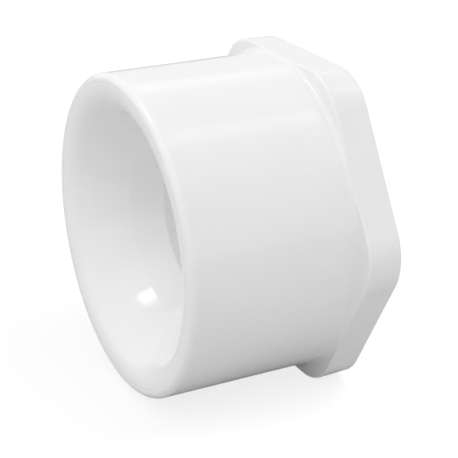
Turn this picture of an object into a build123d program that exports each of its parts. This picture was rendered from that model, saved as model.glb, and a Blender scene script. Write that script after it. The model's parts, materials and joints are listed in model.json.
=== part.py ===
from build123d import *
import os

# Schedule 40 PVC reducer bushing: a 3 in pipe-size spigot outside, a 1-1/2 in pipe socket inside.
#
# It is one injection moulding, so the model is one solid in one node.
#
# Frame: the pipe axis is X. The origin is on that axis, in the plane of the stop ledge, where
# the end of an inserted pipe comes to rest. The socket opens towards +X and the spigot's mouth
# is towards -X. Z is up, with one flat of the hexagon facing down.
# All sizes are in millimetres.

# Spigot, which is cemented into the hub of a 3 in fitting
SPIGOT_DIAMETER = 88.90
SPIGOT_LENGTH = 48.20
MOUTH_EDGE_ROUND = 2.00

# Hexagonal flange, which takes a wrench
FLANGE_THICKNESS = 9.90
FLANGE_ACROSS_FLATS = 89.80
FLANGE_CORNER_ROUND = 15.70
FLANGE_EDGE_ROUND = 0.50
SHOULDER_COVE = 1.60

# Socket, which takes a 1-1/2 in pipe. A real one tapers from 48.56 to 48.11; this is its middle
SOCKET_DIAMETER = 48.34
SOCKET_DEPTH = 28.60
SOCKET_ENTRY_ROUND = 0.80

# Waterway, from the bell mouth through an easing cone and a funnel to the throat
MOUTH_WALL = 6.70
BELL_MOUTH_ROUND = 8.90
CONE_DEPTH = 6.70
CONE_DIAMETER = 62.60
CONE_CURVE = 60.00
FUNNEL_RIM_DEPTH = 14.70
FUNNEL_RIM_DIAMETER = 51.80
FUNNEL_RIM_ROUND = 1.00
THROAT_DIAMETER = 43.00
STOP_LEDGE_THICKNESS = 6.30
THROAT_EDGE_ROUND = 0.50

# Places along the axis
stop_x = 0
throat_x = stop_x - STOP_LEDGE_THICKNESS
end_x = stop_x + SOCKET_DEPTH
shoulder_x = end_x - FLANGE_THICKNESS
mouth_x = shoulder_x - SPIGOT_LENGTH
cone_x = mouth_x + CONE_DEPTH
funnel_x = mouth_x + FUNNEL_RIM_DEPTH

# Radii
spigot_radius = SPIGOT_DIAMETER / 2
bell_radius = spigot_radius - MOUTH_WALL
cone_radius = CONE_DIAMETER / 2
funnel_radius = FUNNEL_RIM_DIAMETER / 2
throat_radius = THROAT_DIAMETER / 2
socket_radius = SOCKET_DIAMETER / 2
disc_radius = FLANGE_ACROSS_FLATS * 0.6

# Corners of the half section, each a place along the axis, a radius and the rounding there
section = [
    (mouth_x, bell_radius, BELL_MOUTH_ROUND),
    (mouth_x, spigot_radius, MOUTH_EDGE_ROUND),
    (shoulder_x, spigot_radius, SHOULDER_COVE),
    (shoulder_x, disc_radius, 0),
    (end_x, disc_radius, 0),
    (end_x, socket_radius, SOCKET_ENTRY_ROUND),
    (stop_x, socket_radius, 0),
    (stop_x, throat_radius, THROAT_EDGE_ROUND),
    (throat_x, throat_radius, THROAT_EDGE_ROUND),
    (funnel_x, funnel_radius, FUNNEL_RIM_ROUND),
    (cone_x, cone_radius, CONE_CURVE),
]

with BuildPart() as bushing_body:
    # Everything round: spigot, waterway, socket and a disc for the flange
    with BuildSketch(Plane.XZ):
        with BuildLine():
            FilletPolyline(
                *[(x, radius) for x, radius, _ in section],
                radius=[rounding for _, _, rounding in section],
                close=True,
            )
        make_face()
    revolve(axis=Axis.X)

    # The hexagon trims the disc, and clears the spigot because it is a little larger
    with BuildSketch(Plane.YZ.offset(mouth_x)):
        hexagon = RegularPolygon(FLANGE_ACROSS_FLATS / 2, 6, major_radius=False)
        fillet(hexagon.vertices(), FLANGE_CORNER_ROUND)
    extrude(amount=end_x - mouth_x, mode=Mode.INTERSECT)

    # Ease both ends of the hexagon's sides, which run the flange's full thickness
    sides = bushing_body.faces(Select.LAST).filter_by(
        lambda face: face.bounding_box().size.X >= FLANGE_THICKNESS
    )
    fillet(sides.edges().filter_by(Axis.X, reverse=True), FLANGE_EDGE_ROUND)

bushing_body.part.label = "bushing_body"
os.makedirs("parts", exist_ok=True)
export_step(bushing_body.part, "parts/bushing_body.step")
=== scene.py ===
import json
import math

import bpy
from bpy.props import FloatProperty, FloatVectorProperty, IntProperty, PointerProperty
from bpy.types import Operator, Panel, PropertyGroup
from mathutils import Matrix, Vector, noise


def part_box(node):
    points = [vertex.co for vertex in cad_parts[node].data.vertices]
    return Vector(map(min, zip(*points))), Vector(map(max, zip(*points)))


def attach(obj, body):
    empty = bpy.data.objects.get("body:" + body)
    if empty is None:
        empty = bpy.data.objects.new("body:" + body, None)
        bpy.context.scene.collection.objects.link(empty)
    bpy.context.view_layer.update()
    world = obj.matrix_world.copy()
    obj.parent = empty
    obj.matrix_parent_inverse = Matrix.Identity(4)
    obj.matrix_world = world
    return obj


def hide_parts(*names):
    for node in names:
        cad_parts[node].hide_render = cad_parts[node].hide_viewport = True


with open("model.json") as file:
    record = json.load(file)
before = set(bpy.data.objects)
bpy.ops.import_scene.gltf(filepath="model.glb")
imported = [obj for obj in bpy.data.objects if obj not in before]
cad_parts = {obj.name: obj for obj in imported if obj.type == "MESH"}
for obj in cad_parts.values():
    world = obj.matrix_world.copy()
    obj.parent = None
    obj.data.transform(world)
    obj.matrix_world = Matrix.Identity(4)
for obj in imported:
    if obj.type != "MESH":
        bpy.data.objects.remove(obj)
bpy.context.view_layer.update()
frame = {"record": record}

bl_info = {
    "name": "Reducer Bushing",
    "version": (1, 0, 0),
    "blender": (4, 5, 0),
    "location": "View3D > Sidebar > Bushing",
    "description": "Builds a white PVC reducer bushing and a small studio round it",
    "category": "Object",
}

# ---------------------------------------------------------------------------
# What the frame says. Everything is in metres, with the pipe axis along X, the
# spigot's mouth towards -X, the socket towards +X and Z up.
# ---------------------------------------------------------------------------

BODY_NODE = "bushing_body"
MATERIAL_SLOT = "white_pvc"
MM = 0.001

body_low, body_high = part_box(BODY_NODE)
mounts = {mount["name"]: mount for mount in frame["record"]["mounts"]}

mouth_x = body_low.x
end_x = body_high.x
stop_x = mounts["socket"]["pos_m"][0]
shoulder_x = mounts["shoulder"]["pos_m"][0]
spigot_radius = mounts["spigot"]["dims"]["r_mm"] * MM
socket_radius = mounts["socket"]["dims"]["r_mm"] * MM
half_across_flats = body_high.z
half_across_corners = body_high.y

# The corner rounding follows from how far the rounded corners stand out from the flats
SECTOR = math.radians(60)
HALF_SECTOR = SECTOR / 2
sharp_corner = half_across_flats / math.cos(HALF_SECTOR)
corner_rounding = (sharp_corner - half_across_corners) / (1 / math.cos(HALF_SECTOR) - 1)


# ---------------------------------------------------------------------------
# Settings
# ---------------------------------------------------------------------------

def length(name, description, default, **more):
    """A size in metres, shown in the scene's own unit of length."""
    return FloatProperty(
        name=name, description=description, default=default,
        unit="LENGTH", subtype="DISTANCE", precision=5, min=0.0, **more)


class BushingMouldingSettings(PropertyGroup):
    mouth_edge: length("Mouth edge", "Radius of the mouth's outer edge", 2.0 * MM)
    mouth_wall: length("Mouth wall", "Wall thickness at the mouth, before the bell's rounding", 6.7 * MM)
    bell_rounding: length("Bell rounding", "Radius of the bell mouth's inner edge", 8.9 * MM)
    cone_depth: length("Cone depth", "From the mouth to where the entry cone eases", 6.7 * MM)
    cone_radius: length("Cone radius", "Radius of the waterway at that depth", 31.3 * MM)
    cone_curve: length("Cone curve", "Radius of the curve between the two slopes", 60.0 * MM)
    funnel_depth: length("Funnel depth", "From the mouth to the funnel's rim", 14.7 * MM)
    funnel_radius: length("Funnel radius", "Radius of the waterway at the funnel's rim", 25.9 * MM)
    funnel_edge: length("Funnel edge", "Radius of the funnel's rim", 1.0 * MM)
    throat_radius: length("Throat radius", "Radius of the hole through the stop ledge", 21.5 * MM)
    throat_edge: length("Throat edge", "Radius of the throat's two edges", 0.5 * MM)
    ledge_thickness: length("Ledge thickness", "Thickness of the pipe stop at the throat", 6.3 * MM)
    socket_taper: length("Socket taper", "Half the change in the socket's radius", 0.11 * MM)
    witness_line: length("Witness line", "Depth of the mould's witness line round the mouth", 0.06 * MM)
    entry_edge: length("Entry edge", "Radius of the socket's entry edge", 0.8 * MM)
    shoulder_cove: length("Shoulder cove", "Radius of the cove between spigot and flange", 1.6 * MM)
    flange_edge: length("Flange edge", "Radius of the flange's two rims", 0.5 * MM)
    flange_draft: length("Flange draft", "How much the flange's sides lean in to the end", 0.24 * MM)
    parting_ridge: length("Parting ridge", "Height of the mould's parting line", 0.05 * MM)
    waviness: length("Waviness", "Depth of the shrinkage waves in the barrel", 0.02 * MM)
    flat_steps: IntProperty(
        name="Steps in a flat", description="Columns of faces across one flat of the hexagon",
        default=44, min=4)
    corner_steps: IntProperty(
        name="Steps in a corner", description="Columns of faces round one corner of the hexagon",
        default=28, min=4)


class PvcFinishSettings(PropertyGroup):
    colour: FloatVectorProperty(
        name="Colour", description="Body colour of the compound", subtype="COLOR",
        size=3, min=0.0, max=1.0, default=(0.878, 0.878, 0.876))
    shade: FloatVectorProperty(
        name="Shade", description="Colour of the slightly duller flow marks", subtype="COLOR",
        size=3, min=0.0, max=1.0, default=(0.860, 0.859, 0.854))
    gloss_low: FloatProperty(
        name="Lowest roughness", description="Roughness of the polished areas",
        default=0.10, min=0.0, max=1.0, subtype="FACTOR")
    gloss_high: FloatProperty(
        name="Highest roughness", description="Roughness of the duller areas",
        default=0.19, min=0.0, max=1.0, subtype="FACTOR")
    refraction: FloatProperty(
        name="Index of refraction", description="Of rigid PVC", default=1.53, min=1.0, max=2.5)


class StudioSettings(PropertyGroup):
    azimuth: FloatProperty(
        name="Camera azimuth", description="Turn of the camera round the bushing",
        default=math.radians(-27.29), subtype="ANGLE")
    elevation: FloatProperty(
        name="Camera elevation", description="Height of the camera over the floor",
        default=math.radians(22.4), subtype="ANGLE")
    distance: length("Camera distance", "From the camera to the point it aims at", 0.39303)
    aim_point: FloatVectorProperty(
        name="Aim point", description="What the camera looks at", subtype="TRANSLATION",
        size=3, precision=5, default=(3.73 * MM, 0, -3.66 * MM))
    focal_length: FloatProperty(
        name="Focal length", description="For a sensor 36 mm wide", default=110.17,
        min=10.0, unit="CAMERA")
    sky: FloatProperty(
        name="Sky", description="Brightness of the white room", default=0.955, min=0.0)
    sky_lean: FloatVectorProperty(
        name="Sky lean", description="How much brighter the room gets towards each direction",
        size=3, default=(-0.12, -0.035, -0.045))
    floor_shade: FloatProperty(
        name="Floor shade", description="Reflectance of the floor that lights the bushing",
        default=0.56, min=0.0, max=1.0, subtype="FACTOR")
    paper_glow: FloatProperty(
        name="Paper glow", description="Light that the white paper gives by itself",
        default=0.79, min=0.0)
    paper_lamp: FloatProperty(
        name="Paper lamp", description="Radiance of the lamp over the paper",
        default=6.0, min=0.0)
    paper_shade: FloatProperty(
        name="Paper shade", description="Reflectance of the white paper, which takes the shadow",
        default=0.22, min=0.0, max=1.0, subtype="FACTOR")


# ---------------------------------------------------------------------------
# Outline helpers. A point on the section is (x, radius).
# ---------------------------------------------------------------------------

SUPPORT = 0.12 * MM      # distance of the row of faces that holds a rounded edge's shading
LONGEST_FACE = 1.6 * MM  # along the section
ARC_STEP = math.radians(9)


def straight_run(start, end):
    """Points from start to end, without start, with one close to each end."""
    start, end = Vector(start), Vector(end)
    span = (end - start).length
    if span < 4 * SUPPORT:
        return [tuple(end)]
    count = max(1, math.ceil((span - 2 * SUPPORT) / LONGEST_FACE))
    inner = span - 2 * SUPPORT
    distances = [SUPPORT + inner * k / count for k in range(count + 1)] + [span]
    return [tuple(start.lerp(end, distance / span)) for distance in distances]


def rounded_corner(before, corner, after, rounding):
    """The arc that rounds a corner, from the side of before to the side of after."""
    if rounding == 0:
        return [corner]
    corner = Vector(corner)
    to_before = (Vector(before) - corner).normalized()
    to_after = (Vector(after) - corner).normalized()
    half = to_before.angle(to_after) / 2
    centre = corner + (to_before + to_after).normalized() * (rounding / math.sin(half))
    first = corner + to_before * (rounding / math.tan(half)) - centre
    last = corner + to_after * (rounding / math.tan(half)) - centre
    turn = first.angle_signed(last)
    count = max(4, math.ceil(abs(turn) / ARC_STEP))
    points = []
    for k in range(count + 1):
        angle = -turn * k / count
        points.append((
            centre.x + first.x * math.cos(angle) - first.y * math.sin(angle),
            centre.y + first.x * math.sin(angle) + first.y * math.cos(angle)))
    return points


def rounded_path(corners):
    """Points along straight runs joined by arcs. A corner is (x, radius, rounding)."""
    path = [corners[0][:2]]
    for before, corner, after in zip(corners, corners[1:], corners[2:]):
        arc = rounded_corner(before[:2], corner[:2], after[:2], corner[2])
        path += straight_run(path[-1], arc[0]) + arc[1:]
    return path + straight_run(path[-1], corners[-1][:2])


def hexagon_radius(angle, inset=0.0):
    """Distance from the axis to the rounded hexagon, whose corners are at 0, 60, 120..."""
    flat = half_across_flats - inset
    rounding = corner_rounding - inset
    from_corner = abs((angle + HALF_SECTOR) % SECTOR - HALF_SECTOR)
    from_flat = HALF_SECTOR - from_corner
    arc_centre = (flat - rounding) / math.cos(HALF_SECTOR)
    tangent = math.atan2(arc_centre * math.sin(HALF_SECTOR), flat)
    if from_flat <= tangent:
        return flat / math.cos(from_flat)
    across = arc_centre * math.sin(from_corner)
    return arc_centre * math.cos(from_corner) + math.sqrt(rounding ** 2 - across ** 2)


def hexagon_angles(flat_steps, corner_steps):
    """Angles round the axis, with one on each line where a flat meets its corners."""
    arc_centre = (half_across_flats - corner_rounding) / math.cos(HALF_SECTOR)
    tangent = math.atan2(arc_centre * math.sin(HALF_SECTOR), half_across_flats)
    half_corner = HALF_SECTOR - tangent
    angles = []
    for sector in range(6):
        corner = sector * SECTOR
        angles += [corner - half_corner + 2 * half_corner * k / corner_steps
                   for k in range(corner_steps)]
        angles += [corner + half_corner + 2 * tangent * k / flat_steps
                   for k in range(flat_steps)]
    return angles


# ---------------------------------------------------------------------------
# The moulding
# ---------------------------------------------------------------------------

WITNESS_INSET = 0.4 * MM  # from the start of the mouth's outer edge in to the witness line


def waterway_and_barrel(size):
    """The round part of the section: in at the socket, out at the mouth, back along the barrel."""
    bell_radius = spigot_radius - size.mouth_wall
    throat_x = stop_x - size.ledge_thickness
    witness_radius = spigot_radius - size.mouth_edge - WITNESS_INSET
    return rounded_path([
        (end_x, socket_radius + size.socket_taper + size.entry_edge, 0),
        (end_x, socket_radius + size.socket_taper, size.entry_edge),
        (stop_x, socket_radius - size.socket_taper, size.throat_edge / 2),
        (stop_x, size.throat_radius, size.throat_edge),
        (throat_x, size.throat_radius, size.throat_edge),
        (mouth_x + size.funnel_depth, size.funnel_radius, size.funnel_edge),
        (mouth_x + size.cone_depth, size.cone_radius, size.cone_curve),
        (mouth_x, bell_radius, size.bell_rounding),
        (mouth_x, witness_radius - 2 * size.witness_line, 0),
        (mouth_x + size.witness_line, witness_radius, 0),
        (mouth_x, witness_radius + 2 * size.witness_line, 0),
        (mouth_x, spigot_radius, size.mouth_edge),
        (shoulder_x - size.shoulder_cove, spigot_radius, 0),
    ])


# Rows of faces along the flange's section. The rows of its side lie at shares of the way from
# the shoulder to the end face, and two of them are raised to make the parting ridge.
COVE_STEPS = 16
RIM_STEPS = 7
FACE_STEPS = 16
SIDE_SHARES = (0.012, 0.03, 0.045, 0.06, 0.08, 0.2, 0.4, 0.6, 0.8, 0.98)
RIDGE_SHARES = (0.03, 0.045)


def along_cove_and_face(size, rim_start):
    """Points up the cove and then the shoulder face, evenly spaced, to where the rim begins."""
    cove = size.shoulder_cove
    centre_x, centre_r = shoulder_x - cove, spigot_radius + cove
    end_angle = math.atan2(rim_start[0] - centre_x, centre_r - min(rim_start[1], centre_r))
    arc_length = cove * end_angle
    face_length = max(0.0, rim_start[1] - centre_r)
    points = []
    for k in range(1, COVE_STEPS + 1):
        travelled = (arc_length + face_length) * k / COVE_STEPS
        if travelled <= arc_length:
            angle = travelled / cove
            points.append((centre_x + cove * math.sin(angle), centre_r - cove * math.cos(angle)))
        else:
            points.append((shoulder_x, centre_r + travelled - arc_length))
    return points


def flange_section(size, angle):
    """The flange's part of the section at one angle, from the cove to the socket's entry edge."""
    edge, cove = size.flange_edge, size.shoulder_cove
    outer = hexagon_radius(angle, size.parting_ridge)
    end_outer = hexagon_radius(angle, size.parting_ridge + size.flange_draft)

    # A ball the size of the edge, rolled along under the side, finds where the rim begins.
    # It rests against the shoulder face, or against the cove where the hexagon cuts into it.
    centre_x, centre_r = shoulder_x - cove, spigot_radius + cove
    ball_r = outer - edge
    if ball_r >= centre_r:
        ball_x = shoulder_x + edge
        rim_start_angle = math.pi
    else:
        ball_x = centre_x + math.sqrt((cove + edge) ** 2 - (centre_r - ball_r) ** 2)
        rim_start_angle = math.atan2(centre_r - ball_r, centre_x - ball_x)
    rim = []
    for k in range(RIM_STEPS + 1):
        turn = rim_start_angle + (math.pi / 2 - rim_start_angle) * k / RIM_STEPS
        rim.append((ball_x + edge * math.cos(turn), ball_r + edge * math.sin(turn)))

    section = along_cove_and_face(size, rim[0]) + rim[1:]

    # Side, with the parting ridge close behind the rim
    end_ball = (end_x - edge, end_outer - edge)
    for share in SIDE_SHARES:
        x = ball_x + (end_ball[0] - ball_x) * share
        height = size.parting_ridge if share in RIDGE_SHARES else 0.0
        section.append((x, outer + (end_outer - outer) * share + height))
    for k in range(RIM_STEPS + 1):
        turn = math.pi / 2 * (1 - k / RIM_STEPS)
        section.append((end_ball[0] + edge * math.cos(turn), end_ball[1] + edge * math.sin(turn)))

    # End face, in to the socket's entry edge
    inner = socket_radius + size.socket_taper + size.entry_edge
    span = end_ball[1] - inner
    distances = [SUPPORT] + [span * k / FACE_STEPS for k in range(1, FACE_STEPS)] + [span - SUPPORT]
    return section + [(end_x, end_ball[1] - distance) for distance in distances]


WAVE_LENGTH = 22 * MM  # along the pipe axis
WAVE_TURN = 1.3        # how fast the waves change round the axis
WAVE_FADE = 3 * MM     # over which the waves die out


def shrinkage(size, x, angle):
    """A slow, shallow wave in the round surfaces, which dies out at the mouth and the shoulder."""
    turn = Vector((math.cos(angle), math.sin(angle), 0)) * WAVE_TURN
    wave = noise.noise(turn + Vector((0, 0, (x - mouth_x) / WAVE_LENGTH)))
    from_mouth = max(0.0, x - mouth_x)
    from_shoulder = max(0.0, shoulder_x - size.shoulder_cove - x)
    fade = min(1.0, from_mouth / WAVE_FADE, from_shoulder / WAVE_FADE)
    return size.waviness * wave * fade


def build_moulding(size):
    """One closed quad mesh: the section at each angle, joined to the next."""
    round_part = waterway_and_barrel(size)
    angles = hexagon_angles(size.flat_steps, size.corner_steps)
    vertices = []
    rows = 0
    for angle in angles:
        section = round_part + flange_section(size, angle)
        rows = len(section)
        for row, (x, radius) in enumerate(section):
            if row < len(round_part):
                radius += shrinkage(size, x, angle)
            vertices.append((x, radius * math.cos(angle), radius * math.sin(angle)))
    faces = []
    columns = len(angles)
    for column in range(columns):
        here = column * rows
        there = (column + 1) % columns * rows
        for row in range(rows):
            above = (row + 1) % rows
            faces.append((here + row, here + above, there + above, there + row))
    mesh = bpy.data.meshes.new("bushing_moulding")
    mesh.from_pydata(vertices, [], faces)
    mesh.validate()
    mesh.shade_smooth()
    moulding = bpy.data.objects.new("bushing_moulding", mesh)
    bpy.context.scene.collection.objects.link(moulding)
    return moulding


# ---------------------------------------------------------------------------
# The finish
# ---------------------------------------------------------------------------

class NodeSketch:
    """Adds shader nodes and links to one material in short lines."""

    def __init__(self, name):
        self.material = bpy.data.materials.new(name)
        self.material.use_nodes = True
        self.tree = self.material.node_tree
        self.tree.nodes.clear()
        self.column = 0

    def add(self, kind, inputs=None, **attributes):
        """One node. An input is a value, or an output to link from."""
        node = self.tree.nodes.new(kind)
        self.column += 1
        node.location = (self.column * 180, 0)
        for name, value in attributes.items():
            setattr(node, name, value)
        for name, value in (inputs or {}).items():
            if isinstance(value, bpy.types.NodeSocket):
                self.tree.links.new(value, node.inputs[name])
            else:
                node.inputs[name].default_value = value
        return node

    def noise(self, vector, scale, detail=2.0, roughness=0.5):
        """Soft noise with features 1 / scale metres across."""
        node = self.add("ShaderNodeTexNoise", {
            "Vector": vector, "Scale": scale, "Detail": detail, "Roughness": roughness})
        return node.outputs["Fac"]

    def remap(self, value, low, high, to_low, to_high):
        """Stretch the range low to high onto to_low to to_high, and clamp it there."""
        node = self.add("ShaderNodeMapRange", {
            "Value": value, "From Min": low, "From Max": high, "To Min": to_low, "To Max": to_high})
        return node.outputs["Result"]

    def math(self, operation, first, second=0.0, third=0.0):
        node = self.add("ShaderNodeMath", {0: first, 1: second, 2: third}, operation=operation)
        return node.outputs["Value"]

    def mix_colour(self, share, first, second):
        """The first colour where share is 0, and the second where it is 1."""
        node = self.add("ShaderNodeMix", {"Factor": share}, data_type="RGBA")
        for socket, value in (("A", first), ("B", second)):
            target = [s for s in node.inputs if s.name == socket and s.type == "RGBA"][0]
            if isinstance(value, bpy.types.NodeSocket):
                self.tree.links.new(value, target)
            else:
                target.default_value = value
        return [s for s in node.outputs if s.type == "RGBA"][0]


# How many features of each kind lie along a metre
FLOW_MARKS = 160
CLOUDS = 45
SPECKS = 2600
SCUFFS = 420
ORANGE_PEEL = 900

FLOW_STRETCH = (0.22, 1, 1)  # flow marks run along the pipe axis


def white_pvc(finish):
    """Glossy moulded PVC: faint flow marks, pigment specks, orange peel and eased edges."""
    sketch = NodeSketch(MATERIAL_SLOT)
    place = sketch.add("ShaderNodeTexCoord").outputs["Object"]

    stretched = sketch.add("ShaderNodeMapping", {"Vector": place, "Scale": FLOW_STRETCH})
    flow = sketch.noise(stretched.outputs["Vector"], FLOW_MARKS, detail=3)
    cloud = sketch.noise(place, CLOUDS, detail=2)
    speck = sketch.noise(place, SPECKS, detail=1)
    scuff = sketch.noise(place, SCUFFS, detail=4, roughness=0.65)

    # Duller where flow marks and clouds add up
    marks = sketch.math("MULTIPLY_ADD", flow, 0.6, -0.05)
    marks = sketch.math("ADD", marks, sketch.remap(cloud, 0.35, 0.65, -0.1, 0.3))
    dull = sketch.remap(marks, 0.2, 0.7, 0.0, 1.0)
    body = sketch.mix_colour(dull, (*finish.colour, 1), (*finish.shade, 1))
    specks = sketch.remap(speck, 0.66, 0.74, 0.0, 0.35)
    colour = sketch.mix_colour(specks, body, (*[0.93 * c for c in finish.shade], 1))

    # Edges catch handling: a little lighter and less polished
    edge = sketch.remap(
        sketch.add("ShaderNodeNewGeometry").outputs["Pointiness"], 0.52, 0.58, 0.0, 1.0)
    worn = sketch.math("MULTIPLY", edge, sketch.remap(scuff, 0.4, 0.65, 0.2, 1.0))
    colour = sketch.mix_colour(worn, colour, (*[min(1.0, 1.03 * c) for c in finish.colour], 1))

    roughness = sketch.remap(dull, 0.0, 1.0, finish.gloss_low, finish.gloss_high)
    roughness = sketch.math("ADD", roughness, sketch.remap(scuff, 0.55, 0.75, 0.0, 0.05))
    roughness = sketch.math("ADD", roughness, sketch.math("MULTIPLY", worn, 0.06))

    peel = sketch.noise(place, ORANGE_PEEL, detail=1)
    height = sketch.math("ADD", peel, sketch.math("MULTIPLY", flow, 1.5))
    bump = sketch.add("ShaderNodeBump", {
        "Height": height, "Strength": 0.12, "Distance": 0.02 * MM})

    shader = sketch.add("ShaderNodeBsdfPrincipled", {
        "Base Color": colour, "Roughness": roughness, "Normal": bump.outputs["Normal"],
        "IOR": finish.refraction})
    sketch.add("ShaderNodeOutputMaterial", {"Surface": shader.outputs["BSDF"]})
    return sketch.material


class BUSHING_OT_moulding(Operator):
    """Build the bushing's one-piece moulding in place of the plain CAD body"""
    bl_idname = "bushing.moulding"
    bl_label = "Bushing moulding"

    def execute(self, context):
        scene = context.scene
        moulding = build_moulding(scene.bushing_moulding)
        moulding.data.materials.append(white_pvc(scene.bushing_finish))
        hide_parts(BODY_NODE)
        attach(moulding, "root")
        return {"FINISHED"}


# ---------------------------------------------------------------------------
# The studio
# ---------------------------------------------------------------------------

FLOOR_SIZE = 6.0
FLOOR_GAP = 0.1 * MM  # from the paper down to the floor


def direction(azimuth, elevation):
    """Unit vector towards a compass angle, counted from +X towards +Y, and a height."""
    flat = math.cos(elevation)
    return Vector((flat * math.cos(azimuth), flat * math.sin(azimuth), math.sin(elevation)))


def aim(thing, target):
    """Turn a lamp or the camera to face a point."""
    thing.rotation_mode = "QUATERNION"
    thing.rotation_quaternion = (target - thing.location).to_track_quat("-Z", "Y")


def softbox(name, azimuth, elevation, distance, width, height, radiance):
    """A rectangular light that faces the bushing, placed by its direction in degrees.

    radiance is in units of the white room.
    """
    light = bpy.data.lights.new(name, "AREA")
    light.shape = "RECTANGLE"
    light.size = width
    light.size_y = height
    light.energy = radiance * math.pi * width * height
    lamp = bpy.data.objects.new(name, light)
    lamp.location = direction(math.radians(azimuth), math.radians(elevation)) * distance
    aim(lamp, Vector((0, 0, 0)))
    bpy.context.scene.collection.objects.link(lamp)
    return lamp


def light_group(name, thing, state):
    """A collection that tells a lamp to light only one thing, or everything but that thing."""
    group = bpy.data.collections.new(name)
    group.objects.link(thing)
    group.collection_objects[0].light_linking.link_state = state
    return group


def white_room(studio):
    """A plain white room, a little brighter on one side."""
    world = bpy.data.worlds.new("white_room")
    world.use_nodes = True
    tree = world.node_tree
    view = tree.nodes.new("ShaderNodeTexCoord")
    lean = tree.nodes.new("ShaderNodeVectorMath")
    lean.operation = "DOT_PRODUCT"
    lean.inputs[1].default_value = studio.sky_lean
    tree.links.new(view.outputs["Generated"], lean.inputs[0])
    total = tree.nodes.new("ShaderNodeMath")
    total.operation = "ADD"
    total.inputs[1].default_value = studio.sky
    tree.links.new(lean.outputs["Value"], total.inputs[0])
    background = tree.nodes["Background"]
    background.inputs["Color"].default_value = (1, 1, 1, 1)
    tree.links.new(total.outputs["Value"], background.inputs["Strength"])
    return world


def floor_sheet(name, height, material):
    """A large flat square at a height."""
    half = FLOOR_SIZE / 2
    sides = ((-half, -half), (half, -half), (half, half), (-half, half))
    mesh = bpy.data.meshes.new(name)
    mesh.from_pydata([(x, y, height) for x, y in sides], [], [(0, 1, 2, 3)])
    mesh.materials.append(material)
    sheet = bpy.data.objects.new(name, mesh)
    bpy.context.scene.collection.objects.link(sheet)
    return sheet


def floor_material(name, shade, glow):
    """Matt white or grey, with some light of its own where glow isn't 0."""
    sketch = NodeSketch(name)
    shader = sketch.add("ShaderNodeBsdfPrincipled", {
        "Base Color": (shade, shade, shade, 1), "Roughness": 1.0, "Specular IOR Level": 0.0,
        "Emission Color": (1, 1, 1, 1), "Emission Strength": glow})
    sketch.add("ShaderNodeOutputMaterial", {"Surface": shader.outputs["BSDF"]})
    return sketch.material


def lay_floor(studio):
    """The paper, which is what the camera sees, and the floor, which is what lights the bushing."""
    floor_z = body_low.z
    paper = floor_sheet(
        "paper", floor_z,
        floor_material("paper_white", studio.paper_shade, studio.paper_glow))
    paper.visible_diffuse = False
    paper.visible_glossy = False
    paper.visible_shadow = False
    floor = floor_sheet(
        "floor", floor_z - FLOOR_GAP,
        floor_material("floor_grey", studio.floor_shade, 0.0))
    floor.visible_camera = False
    return paper


def hang_lights(studio, paper):
    """Softboxes that light the bushing and not the paper, and one that lights only the paper."""
    bushing_softboxes = (
        softbox("back_left_softbox", azimuth=149, elevation=52, distance=0.6,
                width=0.18, height=0.09, radiance=6.0),
        softbox("top_left_softbox", azimuth=195, elevation=58, distance=1.0,
                width=0.7, height=0.7, radiance=0.4),
        softbox("back_right_softbox", azimuth=57, elevation=41, distance=0.7,
                width=0.2, height=0.12, radiance=0.5),
        softbox("right_softbox", azimuth=-14, elevation=58, distance=0.6,
                width=0.1, height=0.26, radiance=0.8),
    )
    for lamp in bushing_softboxes:
        lamp.light_linking.receiver_collection = light_group("not_the_paper", paper, "EXCLUDE")
    lamp = softbox("paper_softbox", azimuth=-35, elevation=62, distance=1.0,
                   width=0.5, height=0.5, radiance=studio.paper_lamp)
    lamp.light_linking.receiver_collection = light_group("the_paper", paper, "INCLUDE")


def place_camera(scene, studio):
    """The camera, at its distance from the point it aims at."""
    camera = bpy.data.objects.new("camera", bpy.data.cameras.new("camera"))
    camera.data.lens = studio.focal_length
    camera.data.clip_start = 0.01
    target = Vector(studio.aim_point)
    back = direction(studio.azimuth - math.pi / 2, studio.elevation)
    camera.location = target + back * studio.distance
    aim(camera, target)
    scene.collection.objects.link(camera)
    scene.camera = camera


class BUSHING_OT_stage(Operator):
    """Set the floor, the white room, the softboxes and the camera"""
    bl_idname = "bushing.stage"
    bl_label = "Studio"

    def execute(self, context):
        scene = context.scene
        studio = scene.bushing_studio
        scene.view_settings.view_transform = "Standard"
        paper = lay_floor(studio)
        scene.world = white_room(studio)
        hang_lights(studio, paper)
        place_camera(scene, studio)
        return {"FINISHED"}


class VIEW3D_PT_bushing(Panel):
    bl_label = "Reducer bushing"
    bl_space_type = "VIEW_3D"
    bl_region_type = "UI"
    bl_category = "Bushing"

    def draw(self, context):
        layout = self.layout
        scene = context.scene
        for operator in (BUSHING_OT_moulding, BUSHING_OT_stage):
            layout.operator(operator.bl_idname)
        for settings in (scene.bushing_moulding, scene.bushing_finish, scene.bushing_studio):
            box = layout.box()
            for name in settings.bl_rna.properties.keys():
                if name not in {"rna_type", "name"}:
                    box.prop(settings, name)


CLASSES = (
    BushingMouldingSettings,
    PvcFinishSettings,
    StudioSettings,
    BUSHING_OT_moulding,
    BUSHING_OT_stage,
    VIEW3D_PT_bushing,
)


def register():
    for cls in CLASSES:
        bpy.utils.register_class(cls)
    bpy.types.Scene.bushing_moulding = PointerProperty(type=BushingMouldingSettings)
    bpy.types.Scene.bushing_finish = PointerProperty(type=PvcFinishSettings)
    bpy.types.Scene.bushing_studio = PointerProperty(type=StudioSettings)


def unregister():
    del bpy.types.Scene.bushing_studio
    del bpy.types.Scene.bushing_finish
    del bpy.types.Scene.bushing_moulding
    for cls in reversed(CLASSES):
        bpy.utils.unregister_class(cls)


def main():
    register()
    bpy.ops.bushing.moulding()
    bpy.ops.bushing.stage()


if __name__ == "__main__":
    main()
